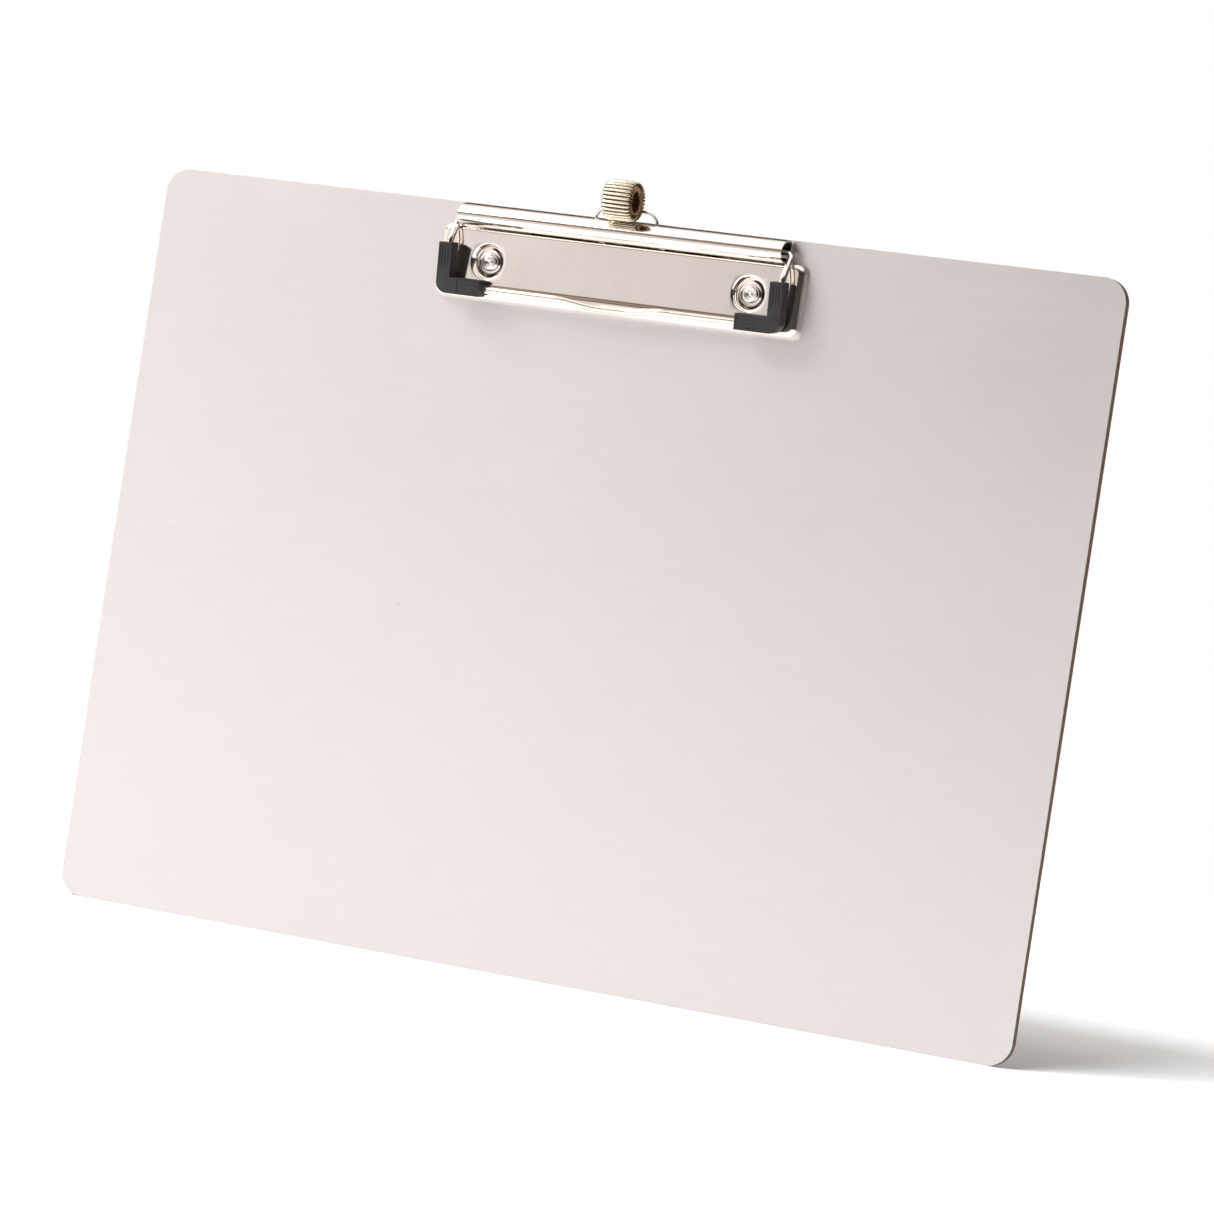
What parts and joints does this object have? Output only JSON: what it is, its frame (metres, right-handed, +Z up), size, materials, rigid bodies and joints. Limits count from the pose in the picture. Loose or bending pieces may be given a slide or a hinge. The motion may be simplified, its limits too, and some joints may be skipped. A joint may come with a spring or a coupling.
{
  "type": "clipboard",
  "caption": "Landscape clipboard: a hardboard with a brushed metal face, a riveted low clip with a sprung wire bail and corner grips, and a coiled pen loop that swings.",
  "frame": {"origin": "centre of the board's flat back face, which is also half way up its height and half way along its width", "axes": "+X along the board's width, +Z up the board towards the clip, +Y out of the back, so the writing face looks along -Y"},
  "size_m": [0.318, 0.0159, 0.2404],
  "materials": {
    "hardboard": "smooth tempered hardboard, matt brown",
    "brushed_aluminium": "fine brushing along the width, satin",
    "nickel_plate": "polished nickel plate on steel, slightly warm",
    "grip_plastic": "charcoal moulded plastic, matt"
  },
  "bodies": {
    "board": {"hardboard_core": "hardboard", "aluminium_face": "brushed_aluminium", "clip_plate": "nickel_plate", "rivet_left": "nickel_plate", "rivet_right": "nickel_plate"},
    "bail": {"bail_wire": "nickel_plate", "grip_left": "grip_plastic", "grip_right": "grip_plastic"},
    "pen_loop": {"pen_coil": "nickel_plate", "pen_loop_wire": "nickel_plate"}
  },
  "joints": [
    {"name": "bail_hinge", "type": "hinge", "parent": "board", "child": "bail", "pos_m": [0, -0.0056, 0.1101], "axis": [-1, 0, 0], "range_deg": [0, 45], "stiffness_Nm_per_rad": 0.3, "springref_deg": -28.65},
    {"name": "pen_loop_hinge", "type": "hinge", "parent": "board", "child": "pen_loop", "pos_m": [0, -0.0053, 0.11275], "axis": [-1, 0, 0], "range_deg": [0, 35]}
  ]
}
